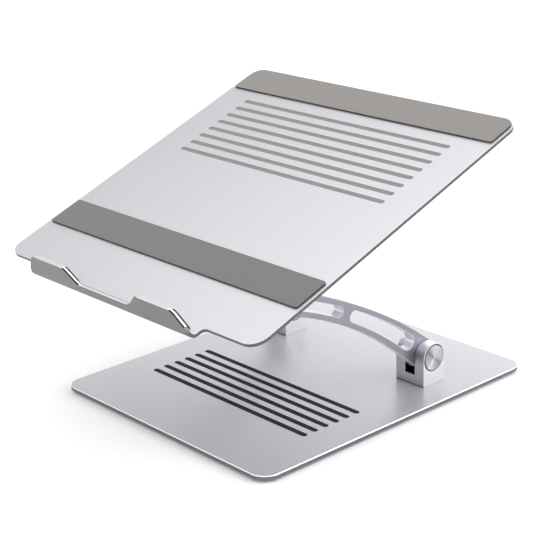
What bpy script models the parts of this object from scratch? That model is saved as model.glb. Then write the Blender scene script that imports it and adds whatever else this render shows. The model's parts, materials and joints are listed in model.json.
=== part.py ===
"""Folding aluminium laptop stand.

A heavy base plate carries two clevis brackets near its back edge. Two arched arms turn in them on
friction hinges, and hold a second pair of the same brackets, screwed to the underside of a sheet
metal tray. The tray's front edge is bent up into two hooks that stop a laptop from sliding off.

The frame has +X to the user's right, +Y to the back and +Z up. Its origin is on the table, in the
middle of the stand's width and halfway between the hooks' tips and the back of the base plate.
"""

import math

import bmesh
import bpy
from mathutils import Matrix, Vector

OBJECT_NAME = "laptop_stand"

# All sizes are in metres.
GAP = 0.0003  # between pieces that rest on each other
ARC_ERROR = 0.00004  # how far a facet of an arc may lie inside the true arc
ARC_STEPS = (math.radians(10), math.radians(30))  # the finest and the coarsest facet

# Base plate, and what is set into it or stuck under it
BASE_WIDTH = 0.2200
BASE_DEPTH = 0.2615
BASE_THICK = 0.0031
BASE_CORNER = 0.0125
FOOT_SIZE = (0.0300, 0.0120, 0.0017)
FOOT_PLACE = (0.0860, 0.1150)  # from the middle of the plate to the middle of a foot
VENT_COUNT = 6
VENT_HALF_LENGTH = 0.0823
VENT_WIDTH = 0.0041
VENT_PITCH = 0.01008
VENT_REAR = 0.0170  # the rearmost strip, in front of the plate's middle
INLAY_RECESS = 0.0002  # how far a strip lies below the face around it, in the base and the tray

# Tray: a sheet that is cut flat and then bent up along its front
TRAY_WIDTH = 0.2654
TRAY_DEPTH = 0.2604
TRAY_THICK = 0.0025
TRAY_CORNER = 0.0118
TRAY_TILT = math.radians(20.6)
TRAY_FRONT_REACH = 0.1541  # from the middle of the base plate forward to the tray's front edge
TRAY_FRONT_HEIGHT = 0.1094  # of the top face's front edge above the table
SLOT_COUNT = 8
SLOT_HALF_LENGTH = 0.1044
SLOT_WIDTH = 0.0037
SLOT_PITCH = 0.00982
SLOT_FIRST = 0.1502  # from the tray's front edge to the first slot

# Hooks: one flange with two high tabs and a low middle
FLANGE_FLAT = 0.0054  # from the tray's front edge to the start of the bend
BEND_RADIUS = 0.0042  # inside the bend
BEND_FACETS = 6
FLANGE_HALF = 0.0848
FLANGE_FILLET = 0.0040
TAB_TOP = 0.0190  # heights above the tray's top face
TAB_SHOULDER = 0.0056
LOW_TOP = 0.0084
TAB_OUTER = 0.0755
TAB_INNER = 0.0388
LOW_HALF = 0.0280
LINER_THICK = 0.0013
LINER_INSET = 0.0009

# Silicone pads on the tray
PAD_THICK = 0.0011
PAD_HALF = 0.1302
PAD_DEPTH = 0.0280
PAD_CORNER = 0.0021
FRONT_PAD_START = 0.0392
REAR_PAD_START = 0.2321
REAR_PAD_CORNER = 0.0090

# Clevis brackets, used four times
BRACKET_X = 0.0728  # from the middle of the stand to the middle of an arm
BRACKET_WIDTH = 0.0270
BRACKET_ROUND = 0.0110
PIVOT_HEIGHT = 0.0204  # of the pivot above the face that the bracket is screwed to
BRACKET_SLOT = 0.0092
BRACKET_SLOT_FLOOR = 0.0080
LOWER_PIVOT_REAR = 0.0568  # behind the base plate's middle
UPPER_PIVOT_DEPTH = 0.0532  # behind the tray's front edge

# Hinge pins and what is on them
SHAFT_RADIUS = 0.0030
SHAFT_CLEARANCE = 0.00015
SHAFT_HEAD = (0.0058, 0.0022)  # radius and thickness
SHAFT_RIVET = (0.0050, 0.0018)  # the end that is riveted over
RECESS_RADIUS = 0.0102
RECESS_DEPTH = 0.0052
CAP_RADIUS = 0.0098
CAP_PROUD = 0.0003
CAP_DISC = 0.0019
CAP_SKIRT = 0.0012
CAP_EDGE = 0.0003
WASHER = (0.0074, 0.0006)
WASHER_GAP = 0.0001

# Arms
ARM_THICK = 0.0088
ARM_ARCH = 0.0101  # how far the middle of the arm rises off the line between its pivots
ARM_LOWER_HALF = 0.0110
ARM_MIDDLE_HALF = 0.0077
ARM_UPPER_HALF = 0.0095
ARM_NARROWEST = 0.75  # places along the arm are fractions of the distance between its pivots
ARM_WINDOWS = ((0.092, 0.522), (0.570, 0.912))
ARM_TOP_RAIL = 0.0038
ARM_LOW_RAIL = 0.0043
ARM_STATIONS = 20
WINDOW_STATIONS = 10

# Countersunk screws, two to a bracket
SCREW_OFFSET = 0.00905  # from the middle of the bracket to the middle of an ear
SCREW_HEAD = 0.0034
SCREW_CONE = 0.0017
SCREW_SHANK = 0.00175
SCREW_BITE = 0.0070  # how far a screw reaches into its bracket
SOCKET = (0.0012, 0.0011)
HOLE_CLEARANCE = 0.0002

# Places that follow from the sizes above
BASE_TOP = FOOT_SIZE[2] + GAP + BASE_THICK
LIP_OUTSIDE = FLANGE_FLAT + BEND_RADIUS + TRAY_THICK
HOOK_TIP_REACH = LIP_OUTSIDE * math.cos(TRAY_TILT) + TAB_TOP * math.sin(TRAY_TILT)
BASE_Y = (TRAY_FRONT_REACH + HOOK_TIP_REACH - BASE_DEPTH / 2) / 2
LOWER_PIVOT = Vector((0, BASE_Y + LOWER_PIVOT_REAR, BASE_TOP + PIVOT_HEIGHT))
TRAY_ALONG = Vector((0, math.cos(TRAY_TILT), math.sin(TRAY_TILT)))
TRAY_UP = Vector((0, -math.sin(TRAY_TILT), math.cos(TRAY_TILT)))
TRAY_FRONT = Vector((0, BASE_Y - TRAY_FRONT_REACH, TRAY_FRONT_HEIGHT))
TRAY_RISE = TRAY_THICK + PIVOT_HEIGHT  # from the upper pivot to the tray's top face
UPPER_PIVOT = TRAY_FRONT + UPPER_PIVOT_DEPTH * TRAY_ALONG - TRAY_RISE * TRAY_UP
ARM_SPAN = (UPPER_PIVOT - LOWER_PIVOT).length
SIDES = {"left": -1, "right": 1}


# ---------------------------------------------------------------- scene and materials

def clear_scene():
    for obj in list(bpy.data.objects):
        bpy.data.objects.remove(obj, do_unlink=True)


def new_collection(name):
    collection = bpy.data.collections.new(name)
    bpy.context.scene.collection.children.link(collection)
    return collection


def make_material(name, colour, roughness, metallic):
    material = bpy.data.materials.new(name)
    material.use_nodes = True
    shader = material.node_tree.nodes["Principled BSDF"]
    shader.inputs["Base Color"].default_value = (*colour, 1.0)
    shader.inputs["Roughness"].default_value = roughness
    shader.inputs["Metallic"].default_value = metallic
    return material


clear_scene()
PARTS = new_collection(OBJECT_NAME)
CUTTERS = new_collection("cutters")
MATERIALS = {
    "aluminium": make_material("anodised_aluminium", (0.60, 0.60, 0.62), 0.38, 1.0),
    "spun": make_material("spun_aluminium", (0.75, 0.75, 0.76), 0.25, 1.0),
    "steel": make_material("steel", (0.45, 0.45, 0.46), 0.30, 1.0),
    "grey_silicone": make_material("grey_silicone", (0.30, 0.29, 0.28), 0.60, 0.0),
    "black_silicone": make_material("black_silicone", (0.02, 0.022, 0.028), 0.55, 0.0),
    "nylon": make_material("black_nylon", (0.03, 0.03, 0.03), 0.45, 0.0),
}


# ---------------------------------------------------------------- placing

def frame_of(x_axis, y_axis, origin=(0, 0, 0)):
    """The matrix that takes local X and Y to these directions, and the local origin to this point."""
    x_axis, y_axis = Vector(x_axis), Vector(y_axis)
    axes = Matrix((x_axis, y_axis, x_axis.cross(y_axis))).transposed()
    return Matrix.Translation(origin) @ axes.to_4x4()


def make_empty(name, matrix):
    empty = bpy.data.objects.new(name, None)
    empty.empty_display_size = 0.02
    PARTS.objects.link(empty)
    empty.matrix_world = matrix
    return empty


def hang(obj, parent, matrix):
    """Places an object by a matrix in its parent's frame."""
    obj.parent = parent
    obj.matrix_local = matrix
    return obj


ACROSS = frame_of((0, 1, 0), (0, 0, 1))  # an outline drawn in X, Y stands in Y, Z


# ---------------------------------------------------------------- shapes

def link_mesh(name, mesh, material=None):
    obj = bpy.data.objects.new(name, mesh)
    PARTS.objects.link(obj)
    if material:
        mesh.materials.append(MATERIALS[material])
    return obj


def arc_points(centre, radius, start, end):
    """Points along an arc, both ends included."""
    finest, coarsest = ARC_STEPS
    facet = 2 * math.acos(max(1 - ARC_ERROR / radius, 0))
    steps = max(1, math.ceil(abs(end - start) / min(max(facet, finest), coarsest) - 0.01))
    angles = [start + (end - start) * i / steps for i in range(steps + 1)]
    return [(centre[0] + radius * math.cos(a), centre[1] + radius * math.sin(a)) for a in angles]


def circle_points(centre, radius):
    return arc_points(centre, radius, 0, 2 * math.pi)[:-1]


def rounded_outline(corners):
    """A closed outline through corners (x, y, radius), each rounded by an arc of its radius."""
    points = []
    for i, (x, y, radius) in enumerate(corners):
        corner = Vector((x, y))
        before = (Vector(corners[i - 1][:2]) - corner).normalized()
        after = (Vector(corners[(i + 1) % len(corners)][:2]) - corner).normalized()
        if radius == 0:
            points.append((x, y))
            continue
        half_angle = before.angle(after) / 2
        middle = (before + after).normalized()
        centre = corner + middle * radius / math.sin(half_angle)
        reach = radius / math.tan(half_angle)
        first = corner + before * reach - centre
        last = corner + after * reach - centre
        start = math.atan2(first.y, first.x)
        turn = (math.atan2(last.y, last.x) - start + math.pi) % (2 * math.pi) - math.pi
        points += arc_points(centre, radius, start, start + turn)
    return points


def rounded_rectangle(x_half, y_low, y_high, radius, rear_radius=None):
    rear = radius if rear_radius is None else rear_radius
    corners = [
        (-x_half, y_low, radius),
        (x_half, y_low, radius),
        (x_half, y_high, rear),
        (-x_half, y_high, rear),
    ]
    return rounded_outline(corners)


def strip(half_length, width, y):
    """A slot or strip across the stand, with round ends."""
    ends = width / 2 * 0.999
    return rounded_rectangle(half_length, y - width / 2, y + width / 2, ends)


def outline_curve(name, outlines, thickness):
    """A flat curve filled between its outlines and thickened evenly about its own plane."""
    curve = bpy.data.curves.new(name, "CURVE")
    curve.dimensions = "2D"
    curve.fill_mode = "BOTH"
    curve.extrude = thickness / 2
    for outline in outlines:
        spline = curve.splines.new("POLY")
        spline.points.add(len(outline) - 1)
        for point, (x, y) in zip(spline.points, outline):
            point.co = (x, y, 0, 1)
        spline.use_cyclic_u = True
    obj = bpy.data.objects.new(name, curve)
    PARTS.objects.link(obj)
    return obj


def curve_to_mesh(curve_object, material=None):
    """Turns a curve into a closed mesh with its caps welded on."""
    bpy.context.view_layer.update()
    name = curve_object.name
    evaluated = curve_object.evaluated_get(bpy.context.evaluated_depsgraph_get())
    mesh = bpy.data.meshes.new_from_object(evaluated)
    bpy.data.objects.remove(curve_object, do_unlink=True)
    shape = bmesh.new()
    shape.from_mesh(mesh)
    bmesh.ops.remove_doubles(shape, verts=shape.verts, dist=1e-6)
    bmesh.ops.recalc_face_normals(shape, faces=shape.faces)
    if shape.calc_volume(signed=True) < 0:
        bmesh.ops.reverse_faces(shape, faces=shape.faces)
    shape.to_mesh(mesh)
    shape.free()
    mesh.name = name
    mesh.materials.clear()
    return link_mesh(name, mesh, material)


def plate(name, outlines, thickness, material):
    return curve_to_mesh(outline_curve(name, outlines, thickness), material)


def turned(name, profile, material=None, facets=24, closed=False):
    """A profile of (radius, height) points turned about local Z, from the top down its outer side."""
    mesh = bpy.data.meshes.new(name)
    edges = [(i, i + 1) for i in range(len(profile) - 1)]
    if closed:
        edges.append((len(profile) - 1, 0))
    mesh.from_pydata([(r, 0, z) for r, z in profile], edges, [])
    obj = link_mesh(name, mesh, material)
    screw = obj.modifiers.new("turn", "SCREW")
    screw.angle = 2 * math.pi
    screw.steps = facets
    screw.render_steps = facets
    screw.use_merge_vertices = True
    screw.merge_threshold = 0.00005
    screw.use_smooth_shade = True
    return obj


def as_cutter(obj):
    for collection in obj.users_collection:
        collection.objects.unlink(obj)
    CUTTERS.objects.link(obj)
    obj.hide_render = True
    obj.display_type = "WIRE"
    return obj


def cutter_of(name, pieces):
    """One cutter from several placed shapes, each given as (object, matrix); the shapes are used up."""
    bpy.context.view_layer.update()
    graph = bpy.context.evaluated_depsgraph_get()
    shape = bmesh.new()
    for piece, matrix in pieces:
        mesh = bpy.data.meshes.new_from_object(piece.evaluated_get(graph))
        mesh.transform(matrix)
        shape.from_mesh(mesh)
        bpy.data.meshes.remove(mesh)
    for piece in {piece for piece, matrix in pieces}:
        bpy.data.objects.remove(piece, do_unlink=True)
    joined = bpy.data.meshes.new(name)
    shape.to_mesh(joined)
    shape.free()
    return as_cutter(link_mesh(name, joined))


def box_cutter(name, size, centre):
    bpy.ops.mesh.primitive_cube_add(size=1, location=centre)
    cutter = bpy.context.object
    cutter.name = name
    cutter.data.transform(Matrix.Diagonal((*size, 1)))
    return as_cutter(cutter)


def cut(target, cutter):
    """Cuts a shape that is hung on the target, so both move together."""
    place = cutter.matrix_world.copy()
    cutter.parent = target
    cutter.matrix_local = place
    boolean = target.modifiers.new("cut", "BOOLEAN")
    boolean.operation = "DIFFERENCE"
    boolean.object = cutter
    return target


# ---------------------------------------------------------------- base plate and its trim

def vent_y(index):
    return -VENT_REAR - index * VENT_PITCH


def countersink(name):
    """The cutter of a countersunk hole whose head lies at local Z 0 and whose shank runs up +Z."""
    clear = HOLE_CLEARANCE
    reach = 0.004
    profile = [
        (0, reach),
        (SCREW_SHANK + clear, reach),
        (SCREW_SHANK + clear, SCREW_CONE + clear),
        (SCREW_HEAD + clear, clear),
        (SCREW_HEAD + clear, -0.001),
        (0, -0.001),
    ]
    return turned(name, profile)


def screw_places():
    return [side * BRACKET_X + ear * SCREW_OFFSET for side in (-1, 1) for ear in (-1, 1)]


def make_base_plate(base_frame):
    outlines = [rounded_rectangle(BASE_WIDTH / 2, -BASE_DEPTH / 2, BASE_DEPTH / 2, BASE_CORNER)]
    outlines += [strip(VENT_HALF_LENGTH, VENT_WIDTH, vent_y(i)) for i in range(VENT_COUNT)]
    base = plate("base_plate", outlines, BASE_THICK, "aluminium")
    underside = -BASE_THICK / 2
    hole = countersink("hole")
    places = [Matrix.Translation((x, LOWER_PIVOT_REAR, underside)) for x in screw_places()]
    cut(base, cutter_of("base_plate_holes", [(hole, place) for place in places]))
    hang(base, base_frame, Matrix.Translation((0, 0, -BASE_THICK / 2)))


def fill_slot(name, half_length, slot_width, plate_thick, material):
    """A strip that fills a slot, with its place's Z 0 on the top face of the slotted plate."""
    thick = plate_thick - INLAY_RECESS - GAP
    inlay = plate(name, [strip(half_length - GAP, slot_width - 2 * GAP, 0)], thick, material)
    inlay.data.transform(Matrix.Translation((0, 0, -INLAY_RECESS - thick / 2)))
    return inlay


def make_vent_inlays(base_frame):
    for i in range(VENT_COUNT):
        name = f"vent_inlay_{i + 1}"
        inlay = fill_slot(name, VENT_HALF_LENGTH, VENT_WIDTH, BASE_THICK, "black_silicone")
        hang(inlay, base_frame, Matrix.Translation((0, vent_y(i), 0)))


def make_feet(base_frame):
    length, depth, thick = FOOT_SIZE
    outline = rounded_rectangle(length / 2, -depth / 2, depth / 2, depth * 0.499)
    height = -BASE_THICK - GAP - thick / 2
    for end, y_side in {"front": -1, "rear": 1}.items():
        for side, x_side in SIDES.items():
            foot = plate(f"foot_{end}_{side}", [outline], thick, "black_silicone")
            place = (x_side * FOOT_PLACE[0], y_side * FOOT_PLACE[1], height)
            hang(foot, base_frame, Matrix.Translation(place))


# ---------------------------------------------------------------- hinges

def bracket_outline():
    """The side view: a square foot at Y 0 under a round top about the pivot."""
    arc = arc_points((0, PIVOT_HEIGHT), BRACKET_ROUND, 0, math.pi)
    return [(-BRACKET_ROUND, GAP), (BRACKET_ROUND, GAP), *arc]


def pivot_bore(name):
    """A cutter along local Z: the shaft's hole, opening at both ends into the recess for a cap."""
    hole = SHAFT_RADIUS + SHAFT_CLEARANCE
    outer = BRACKET_WIDTH / 2 + 0.001
    floor = BRACKET_WIDTH / 2 - RECESS_DEPTH
    profile = [
        (0, outer),
        (RECESS_RADIUS, outer),
        (RECESS_RADIUS, floor),
        (hole, floor),
        (hole, -floor),
        (RECESS_RADIUS, -floor),
        (RECESS_RADIUS, -outer),
        (0, -outer),
    ]
    return turned(name, profile)


def make_bracket(name, parent, place):
    """A clevis bracket with its foot's face at local Z 0 and the pivot above it."""
    bracket = plate(name, [bracket_outline()], BRACKET_WIDTH, "aluminium")
    bracket.data.transform(ACROSS)
    slot_top = PIVOT_HEIGHT + BRACKET_ROUND + 0.001
    slot_size = (BRACKET_SLOT, 2 * BRACKET_ROUND + 0.002, slot_top - BRACKET_SLOT_FLOOR)
    slot_centre = (0, 0, (slot_top + BRACKET_SLOT_FLOOR) / 2)
    cut(bracket, box_cutter(name + "_slot", slot_size, slot_centre))
    bore = as_cutter(pivot_bore(name + "_bore"))
    bore.matrix_world = frame_of((0, 1, 0), (0, 0, 1), (0, 0, PIVOT_HEIGHT))
    cut(bracket, bore)
    radius = SCREW_SHANK + HOLE_CLEARANCE
    depth = SCREW_BITE + HOLE_CLEARANCE
    hole = turned("hole", [(0, depth), (radius, depth), (radius, -0.001), (0, -0.001)])
    places = [Matrix.Translation((ear * SCREW_OFFSET, 0, 0)) for ear in (-1, 1)]
    cut(bracket, cutter_of(name + "_screw_holes", [(hole, matrix) for matrix in places]))
    return hang(bracket, parent, place)


def shaft_profile():
    """A pin with a domed head above and a riveted end below, each outside one ear."""
    head_radius, head_thick = SHAFT_HEAD
    rivet_radius, rivet_thick = SHAFT_RIVET
    seat = BRACKET_WIDTH / 2 - RECESS_DEPTH + WASHER_GAP
    return [
        (0, seat + head_thick),
        (head_radius * 0.6, seat + head_thick),
        (head_radius, seat + head_thick * 0.5),
        (head_radius, seat),
        (SHAFT_RADIUS, seat),
        (SHAFT_RADIUS, -seat),
        (rivet_radius, -seat),
        (rivet_radius, -seat - rivet_thick * 0.5),
        (rivet_radius * 0.6, -seat - rivet_thick),
        (0, -seat - rivet_thick),
    ]


def make_washers(prefix, side, parent, place):
    """Two thin friction washers, one on each side of the arm."""
    radius, thick = WASHER
    hole = SHAFT_RADIUS + SHAFT_CLEARANCE
    top = thick / 2
    profile = [(hole, top), (radius, top), (radius, -top), (hole, -top)]
    offset = BRACKET_SLOT / 2 - WASHER_GAP - thick / 2
    for where, height in {"outer": offset, "inner": -offset}.items():
        name = f"{prefix}_washer_{side}_{where}"
        washer = turned(name, profile, "nylon", facets=16, closed=True)
        hang(washer, parent, place @ Matrix.Translation((0, 0, height)))


def cap_profile():
    """A cap with a turned face and a skirt that stands in the bracket's recess."""
    face = BRACKET_WIDTH / 2 + CAP_PROUD
    back = face - CAP_DISC
    skirt_end = BRACKET_WIDTH / 2 - RECESS_DEPTH + GAP
    return [
        (0, face),
        (CAP_RADIUS - CAP_EDGE, face),
        (CAP_RADIUS, face - CAP_EDGE),
        (CAP_RADIUS, skirt_end),
        (CAP_RADIUS - CAP_SKIRT, skirt_end),
        (CAP_RADIUS - CAP_SKIRT, back),
        (0, back),
    ]


def make_caps(prefix, side, sign, parent, pivot):
    """The two caps of a bracket: one on its outer face and one on its inner face."""
    for where, direction in {"outer": sign, "inner": -sign}.items():
        cap = turned(f"{prefix}_cap_{side}_{where}", cap_profile(), "spun")
        axes = frame_of((0, direction, 0), (0, 0, 1), pivot)
        hang(cap, parent, axes)


def make_pin_set(prefix, side, sign, parent, pivot):
    """The shaft and washers of one hinge, with the shaft's head on the outer side."""
    place = frame_of((0, sign, 0), (0, 0, 1), pivot)
    shaft = turned(f"{prefix}_shaft_{side}", shaft_profile(), "steel", facets=16)
    hang(shaft, parent, place)
    make_washers(prefix, side, parent, place)


def screw_profile(through):
    """A countersunk screw through a plate of this thickness, its head at local Z 0."""
    end = through + SCREW_BITE
    socket_radius, socket_depth = SOCKET
    return [
        (0, end),
        (SCREW_SHANK * 0.7, end),
        (SCREW_SHANK, end - 0.0006),
        (SCREW_SHANK, SCREW_CONE),
        (SCREW_HEAD, 0.0002),
        (SCREW_HEAD, 0),
        (socket_radius, 0),
        (socket_radius, socket_depth),
        (0, socket_depth),
    ]


def make_screws(prefix, through, parent, heads):
    """The four screws of a pair of brackets; the matrix puts their heads on the plate's far face."""
    for side, sign in SIDES.items():
        for where, ear in {"outer": sign, "inner": -sign}.items():
            name = f"{prefix}_screw_{side}_{where}"
            screw = turned(name, screw_profile(through), "steel", facets=12)
            x = sign * BRACKET_X + ear * SCREW_OFFSET
            hang(screw, parent, heads @ Matrix.Translation((x, 0, 0)))


def make_lower_hinges(base_frame):
    for side, sign in SIDES.items():
        foot = Matrix.Translation((sign * BRACKET_X, LOWER_PIVOT_REAR, 0))
        make_bracket(f"lower_bracket_{side}", base_frame, foot)
        pivot = (sign * BRACKET_X, LOWER_PIVOT_REAR, PIVOT_HEIGHT)
        make_caps("lower", side, sign, base_frame, pivot)
        make_pin_set("lower", side, sign, base_frame, pivot)
    heads = Matrix.Translation((0, LOWER_PIVOT_REAR, -BASE_THICK + 0.0001))
    make_screws("lower", BASE_THICK, base_frame, heads)


def make_upper_hinges(tray_frame):
    """The tray's frame has its origin on the pivot, with the brackets' feet above it."""
    turn_over = Matrix.Rotation(math.pi, 4, "X")
    for side, sign in SIDES.items():
        foot = Matrix.Translation((sign * BRACKET_X, 0, PIVOT_HEIGHT)) @ turn_over
        make_bracket(f"upper_bracket_{side}", tray_frame, foot)
        pivot = (sign * BRACKET_X, 0, 0)
        make_caps("upper", side, sign, tray_frame, pivot)
        make_pin_set("upper", side, sign, tray_frame, pivot)
    heads = Matrix.Translation((0, 0, TRAY_RISE - 0.0001)) @ turn_over
    make_screws("upper", TRAY_THICK, tray_frame, heads)


# ---------------------------------------------------------------- arms

def arch(fraction):
    """The point of the arm's centre line at this fraction of the span, and the direction across it."""
    radius = ARM_SPAN**2 / (8 * ARM_ARCH) + ARM_ARCH / 2
    along = fraction * ARM_SPAN
    from_middle = along - ARM_SPAN / 2
    height = math.sqrt(radius**2 - from_middle**2) - (radius - ARM_ARCH)
    across = Vector((from_middle, height + radius - ARM_ARCH)).normalized()
    return Vector((along, height)), across


def half_width(fraction):
    """Half the arm's width, from the lower knuckle's radius by the narrowest part to the upper's."""
    if fraction < ARM_NARROWEST:
        away = 1 - fraction / ARM_NARROWEST
        return ARM_MIDDLE_HALF + (ARM_LOWER_HALF - ARM_MIDDLE_HALF) * away**1.7
    away = (fraction - ARM_NARROWEST) / (1 - ARM_NARROWEST)
    return ARM_MIDDLE_HALF + (ARM_UPPER_HALF - ARM_MIDDLE_HALF) * away**2


def arm_edge(fraction, side, rail=0.0):
    """A point on the arm's upper (side 1) or lower (side -1) edge, or inside it by the rail."""
    point, across = arch(fraction)
    return tuple(point + across * side * (half_width(fraction) - rail))


def fractions(start, end, count):
    return [start + (end - start) * i / count for i in range(count + 1)]


def upper_cap(fraction, radius):
    """The half circle at the end that is nearer to the tray, from the upper edge to the lower one."""
    point, across = arch(fraction)
    start = math.atan2(across.y, across.x)
    return arc_points(point, radius, start, start - math.pi)[1:-1]


def lower_cap(fraction, radius):
    """The half circle at the end that is nearer to the base, from the lower edge to the upper one."""
    point, across = arch(fraction)
    start = math.atan2(-across.y, -across.x)
    return arc_points(point, radius, start, start - math.pi)[1:-1]


def arm_outline():
    """Clockwise: along the upper edge, round the upper knuckle, back below, round the lower one."""
    along = fractions(0, 1, ARM_STATIONS)
    upper = [arm_edge(f, 1) for f in along]
    lower = [arm_edge(f, -1) for f in reversed(along)]
    far_end = upper_cap(1, ARM_UPPER_HALF)
    near_end = lower_cap(0, ARM_LOWER_HALF)
    return upper + far_end + lower + near_end


def window_outline(start, end):
    """A window with round ends between the two rails."""
    middle_shift = (ARM_LOW_RAIL - ARM_TOP_RAIL) / 2
    rail = (ARM_LOW_RAIL + ARM_TOP_RAIL) / 2

    def shifted(points):
        return [(x, y + middle_shift) for x, y in points]

    first_radius = half_width(start) - rail
    last_radius = half_width(end) - rail
    inner = fractions(start + first_radius / ARM_SPAN, end - last_radius / ARM_SPAN, WINDOW_STATIONS)
    upper = [arm_edge(f, 1, rail) for f in inner]
    lower = [arm_edge(f, -1, rail) for f in reversed(inner)]
    far_end = upper_cap(inner[-1], half_width(inner[-1]) - rail)
    near_end = lower_cap(inner[0], half_width(inner[0]) - rail)
    return shifted(upper + far_end + lower + near_end)


def arm_pivots():
    return [(0, 0), (ARM_SPAN, 0)]


def washer_seats(name):
    """Shallow round cuts on both faces of the arm at both pivots, which the washers sit in."""
    radius = WASHER[0] + GAP
    floor = BRACKET_SLOT / 2 - 2 * WASHER_GAP - WASHER[1]
    outer = ARM_THICK / 2 + 0.001
    seat = turned("seat", [(0, outer), (radius, outer), (radius, floor), (0, floor)])
    flip = Matrix.Rotation(math.pi, 4, "X")
    places = []
    for x, y in arm_pivots():
        places.append((seat, Matrix.Translation((x, y, 0))))
        places.append((seat, Matrix.Translation((x, y, 0)) @ flip))
    return cutter_of(name, places)


def make_arms(arm_frame):
    """The arms' frame has its origin on the lower pivot."""
    direction = (UPPER_PIVOT - LOWER_PIVOT).normalized()
    upward = Vector((0, direction.z, -direction.y))
    outlines = [arm_outline()]
    outlines += [window_outline(start, end) for start, end in ARM_WINDOWS]
    outlines += [circle_points(pivot, SHAFT_RADIUS + SHAFT_CLEARANCE) for pivot in arm_pivots()]
    for side, sign in SIDES.items():
        arm = plate(f"arm_{side}", outlines, ARM_THICK, "aluminium")
        cut(arm, washer_seats(f"arm_{side}_seats"))
        hang(arm, arm_frame, frame_of(direction, upward, (sign * BRACKET_X, 0, 0)))


# ---------------------------------------------------------------- tray

def unbent(height):
    """How far in front of the tray's front edge a point of the lip lies while the sheet is flat."""
    return FLANGE_FLAT + BEND_RADIUS * math.pi / 2 + height - BEND_RADIUS


def bend(y):
    """Where the point at y of the flat sheet's top face goes when the flange is bent up."""
    bend_start = -FLANGE_FLAT
    angle = min((bend_start - y) / BEND_RADIUS, math.pi / 2)
    if angle <= 0:
        return y, 0.0
    beyond = max(bend_start - BEND_RADIUS * math.pi / 2 - y, 0.0)
    along = bend_start - BEND_RADIUS * math.sin(angle)
    height = BEND_RADIUS * (1 - math.cos(angle)) + beyond
    return along, height


def sheet_outline():
    """The flat sheet: Y 0 is the tray's front edge, and the hooks lie in front of it."""
    half = TRAY_WIDTH / 2
    right_side = [
        (half, 0, TRAY_CORNER),
        (half, TRAY_DEPTH, TRAY_CORNER),
    ]
    right_hook = [
        (LOW_HALF, -unbent(LOW_TOP), 0.0090),
        (TAB_INNER, -unbent(TAB_TOP), 0.0070),
        (TAB_OUTER, -unbent(TAB_TOP), 0.0075),
        (FLANGE_HALF, -unbent(TAB_SHOULDER), 0.0120),
        (FLANGE_HALF, 0, FLANGE_FILLET),
    ]
    right = right_hook + right_side
    left = [(-x, y, radius) for x, y, radius in reversed(right)]
    return rounded_outline(right + left)


def slot_y(index):
    return SLOT_FIRST + index * SLOT_PITCH


def make_tray_plate(tray_frame):
    outlines = [sheet_outline()]
    outlines += [strip(SLOT_HALF_LENGTH, SLOT_WIDTH, slot_y(i)) for i in range(SLOT_COUNT)]
    tray = plate("tray_plate", outlines, 0, "aluminium")
    sheet = bmesh.new()
    sheet.from_mesh(tray.data)
    facet = BEND_RADIUS * math.pi / 2 / BEND_FACETS
    for i in range(BEND_FACETS + 1):
        everything = sheet.verts[:] + sheet.edges[:] + sheet.faces[:]
        line = (0, -FLANGE_FLAT - i * facet, 0)
        bmesh.ops.bisect_plane(sheet, geom=everything, plane_co=line, plane_no=(0, 1, 0), dist=1e-6)
    bmesh.ops.remove_doubles(sheet, verts=sheet.verts, dist=1e-5)
    for vert in sheet.verts:
        vert.co.y, vert.co.z = bend(vert.co.y)
    for face in sheet.faces:
        face.smooth = False
    bmesh.ops.recalc_face_normals(sheet, faces=sheet.faces)
    highest = max(sheet.faces, key=lambda face: face.calc_center_median().y)
    if highest.normal.z < 0:
        bmesh.ops.reverse_faces(sheet, faces=sheet.faces)
    sheet.to_mesh(tray.data)
    sheet.free()
    solidify = tray.modifiers.new("sheet", "SOLIDIFY")
    solidify.thickness = TRAY_THICK
    solidify.offset = -1
    solidify.use_even_offset = True
    hole = countersink("hole")
    turn_over = Matrix.Rotation(math.pi, 4, "X")
    places = [Matrix.Translation((x, UPPER_PIVOT_DEPTH, 0)) @ turn_over for x in screw_places()]
    cut(tray, cutter_of("tray_plate_holes", [(hole, place) for place in places]))
    hang(tray, tray_frame, Matrix.Translation((0, -UPPER_PIVOT_DEPTH, TRAY_RISE)))


def make_tray_inlays(tray_frame):
    for i in range(SLOT_COUNT):
        name = f"tray_inlay_{i + 1}"
        inlay = fill_slot(name, SLOT_HALF_LENGTH, SLOT_WIDTH, TRAY_THICK, "grey_silicone")
        hang(inlay, tray_frame, Matrix.Translation((0, slot_y(i) - UPPER_PIVOT_DEPTH, TRAY_RISE)))


def make_pads(tray_frame):
    """Silicone pads that the laptop lies on."""
    front_end = FRONT_PAD_START + PAD_DEPTH
    rear_end = REAR_PAD_START + PAD_DEPTH
    front = rounded_rectangle(PAD_HALF, FRONT_PAD_START, front_end, PAD_CORNER)
    rear = rounded_rectangle(PAD_HALF, REAR_PAD_START, rear_end, PAD_CORNER, REAR_PAD_CORNER)
    place = Matrix.Translation((0, -UPPER_PIVOT_DEPTH, TRAY_RISE + GAP + PAD_THICK / 2))
    for name, outline in {"front_pad": front, "rear_pad": rear}.items():
        hang(plate(name, [outline], PAD_THICK, "grey_silicone"), tray_frame, place)


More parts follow.
